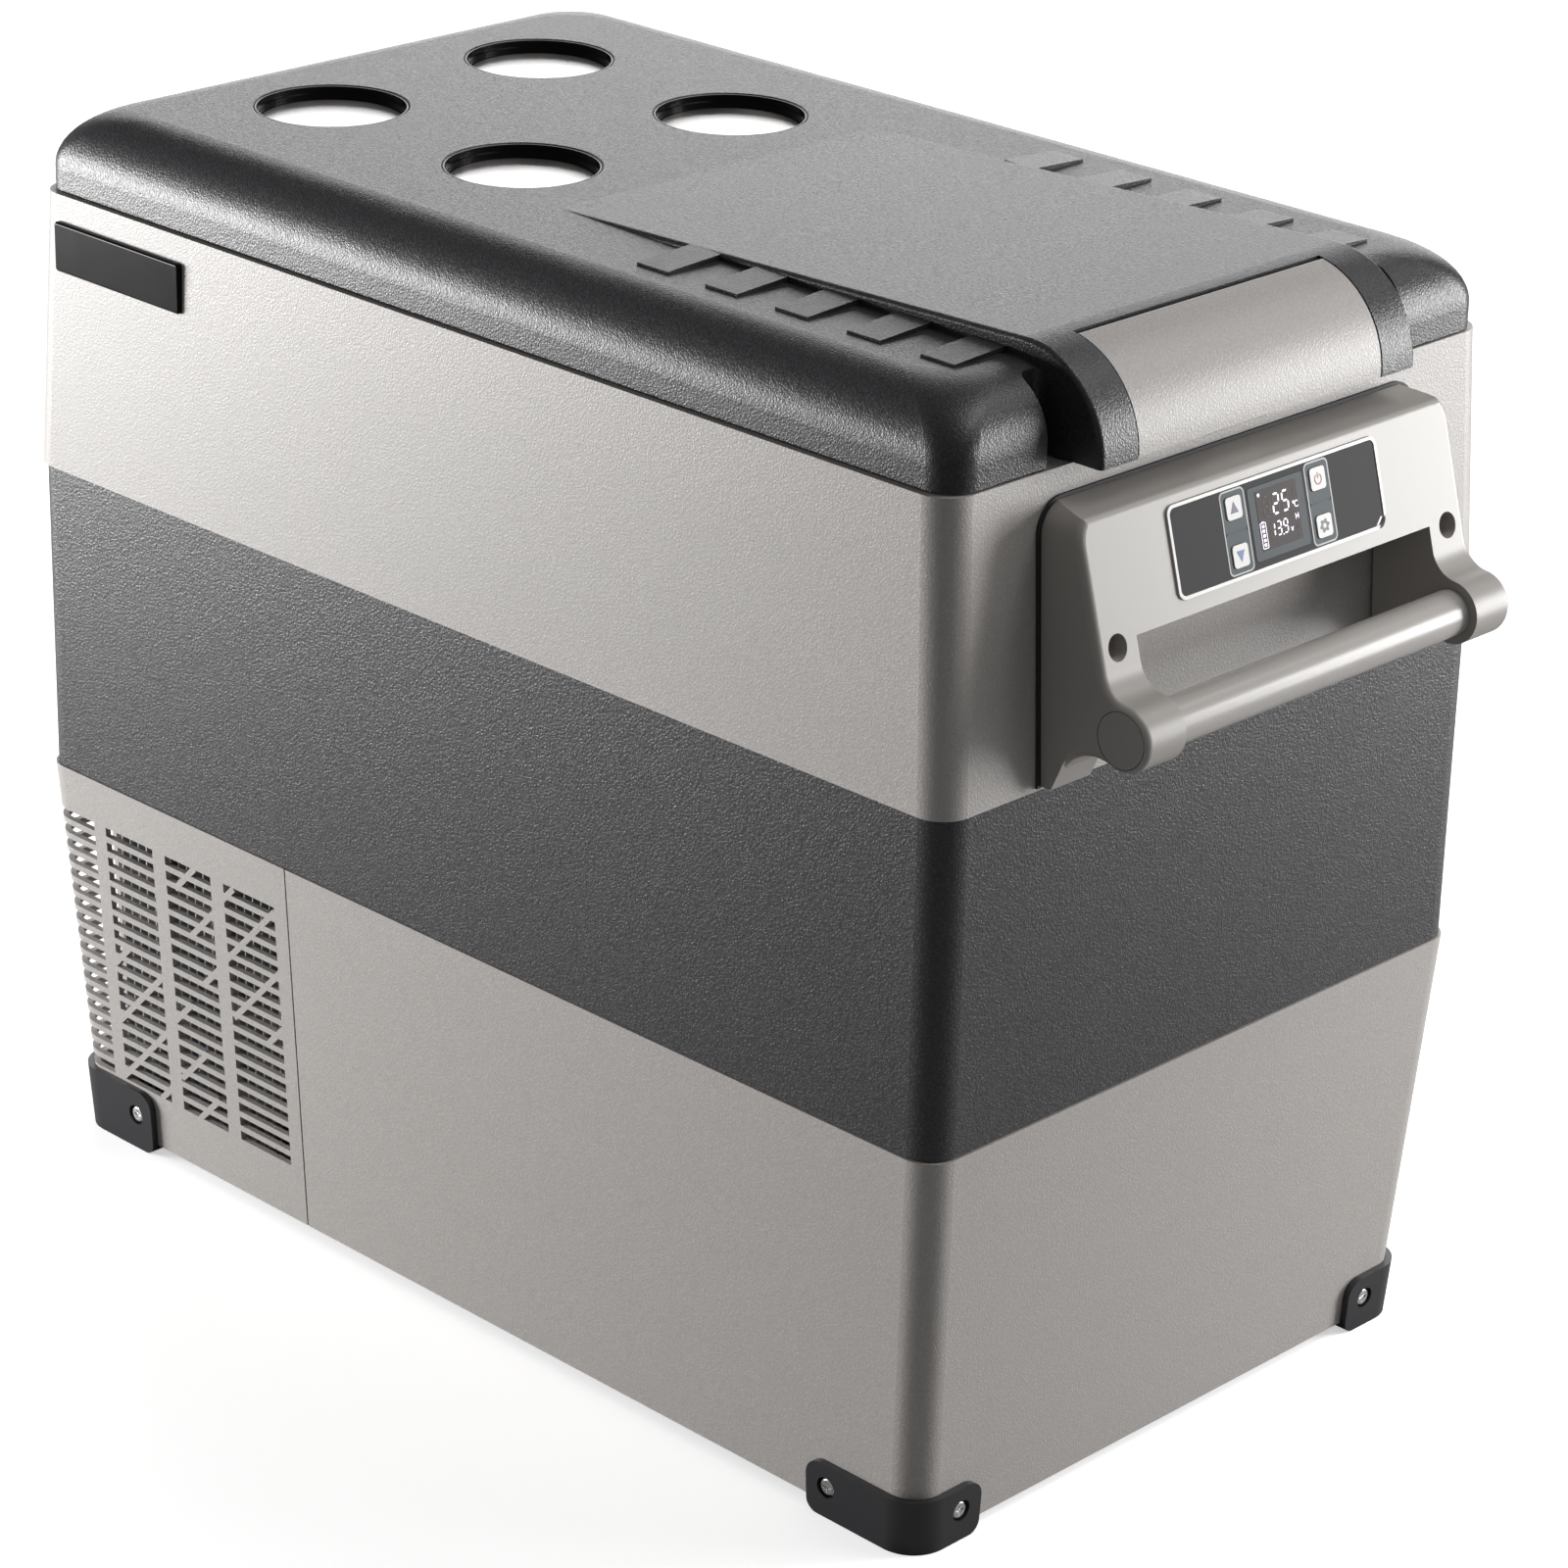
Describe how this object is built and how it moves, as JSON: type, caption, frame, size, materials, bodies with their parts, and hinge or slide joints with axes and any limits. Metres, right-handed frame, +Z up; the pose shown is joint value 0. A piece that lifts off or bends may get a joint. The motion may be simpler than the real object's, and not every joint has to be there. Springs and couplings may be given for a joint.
{
  "type": "compressor cooler fridge",
  "caption": "Portable chest fridge with banded plastic body, hinged lid with latch flap and cup wells, carry bars, side air slots and a small control panel.",
  "frame": {"origin": "centre of the footprint on the ground, under the corner feet", "axes": "+Z up; +X towards the end with the lid latch and the control panel; +Y towards the long side that has no badge"},
  "size_m": [0.7094, 0.3536, 0.5337],
  "materials": {
    "body_light": "fine leather grain, warm light grey",
    "body_dark": "fine leather grain, dark grey",
    "lid_charcoal": "grained charcoal, slight sheen",
    "bracket_grey": "satin warm grey",
    "bar_grey": "satin silver grey",
    "black_satin": "satin black",
    "black_gloss": "gloss black",
    "bright_steel": "bright",
    "cup_silver": "bright satin disc",
    "black_steel": "satin black enamel",
    "seal_rubber": "matte",
    "liner_white": "smooth off-white",
    "foam_cream": "rigid foam",
    "fin_aluminium": "plain",
    "pipe_copper": "plain copper",
    "board_green": "circuit board",
    "lamp_lens": "milky",
    "basket_grey": "smooth light grey",
    "bezel_white": "satin white",
    "overlay_dark": "printed membrane, dark grey",
    "screen_glass": "smoked window",
    "key_white": "printed membrane key"
  },
  "bodies": {
    "body": {"badge_plate": "black_gloss", "base_plate": "black_satin", "compressor": "black_steel", "compressor_grommets": "seal_rubber", "compressor_tray": "black_steel", "condenser_fins": "fin_aluminium", "condenser_tube": "pipe_copper", "control_board": "board_green", "control_pcb": "board_green", "discharge_tube": "pipe_copper", "display_window": "screen_glass", "evaporator_tube": "fin_aluminium", "fan_frame": "black_satin", "filter_drier": "pipe_copper", "foam_insulation": "foam_cream", "foot_front_left": "black_satin", "foot_front_right": "black_satin", "foot_rear_left": "black_satin", "foot_rear_right": "black_satin", "foot_screws": "bright_steel", "handle_bar_front": "bar_grey", "handle_bar_rear": "bar_grey", "handle_bracket_front": "bracket_grey", "handle_bracket_rear": "bracket_grey", "handle_caps": "bracket_grey", "handle_gasket_front": "seal_rubber", "handle_gasket_rear": "seal_rubber", "handle_screws": "black_steel", "heat_sink": "fin_aluminium", "hinge_leaf_body": "black_steel", "hinge_pins": "bright_steel", "inlet_pins": "bright_steel", "inlet_plate": "black_satin", "inner_liner": "liner_white", "interior_light": "lamp_lens", "latch_strike": "bracket_grey", "lower_band": "body_light", "middle_band": "body_dark", "panel_bezel": "bezel_white", "panel_overlay": "overlay_dark", "suction_tube": "pipe_copper", "upper_band": "body_light", "vent_cover": "body_light", "well_basket": "basket_grey"},
    "lid": {"lid_shell": "lid_charcoal", "lid_inner": "liner_white", "lid_gasket": "seal_rubber", "lid_foam": "foam_cream", "cup_wells": "black_gloss", "cup_discs": "cup_silver", "hinge_leaf_lid": "black_steel", "latch_pin": "bright_steel"},
    "latch": {"latch_flap": "body_light"},
    "fan": {"fan_rotor": "black_satin"},
    "button_up": {"key_up": "key_white"},
    "button_down": {"key_down": "key_white"},
    "button_power": {"key_power": "key_white"},
    "button_settings": {"key_settings": "key_white"}
  },
  "joints": [
    {"name": "lid_hinge", "type": "hinge", "parent": "body", "child": "lid", "pos_m": [-0.296, 0, 0.489], "axis": [0, -1, 0], "range_deg": [0, 95]},
    {"name": "latch_pivot", "type": "hinge", "parent": "lid", "child": "latch", "pos_m": [0.2723, 0, 0.5303], "axis": [0, -1, 0], "range_deg": [0, 65]},
    {"name": "fan_spin", "type": "hinge", "parent": "body", "child": "fan", "pos_m": [-0.2, -0.1115, 0.095], "axis": [0, 1, 0], "continuous": true},
    {"name": "press_up", "type": "slide", "parent": "body", "child": "button_up", "axis": [-0.9632, 0, -0.2689], "range_m": [0, 0.0005], "stiffness_N_per_m": 400, "springref_m": -0.0005},
    {"name": "press_down", "type": "slide", "parent": "body", "child": "button_down", "axis": [-0.9632, 0, -0.2689], "range_m": [0, 0.0005], "stiffness_N_per_m": 400, "springref_m": -0.0005},
    {"name": "press_power", "type": "slide", "parent": "body", "child": "button_power", "axis": [-0.9632, 0, -0.2689], "range_m": [0, 0.0005], "stiffness_N_per_m": 400, "springref_m": -0.0005},
    {"name": "press_settings", "type": "slide", "parent": "body", "child": "button_settings", "axis": [-0.9632, 0, -0.2689], "range_m": [0, 0.0005], "stiffness_N_per_m": 400, "springref_m": -0.0005}
  ]
}
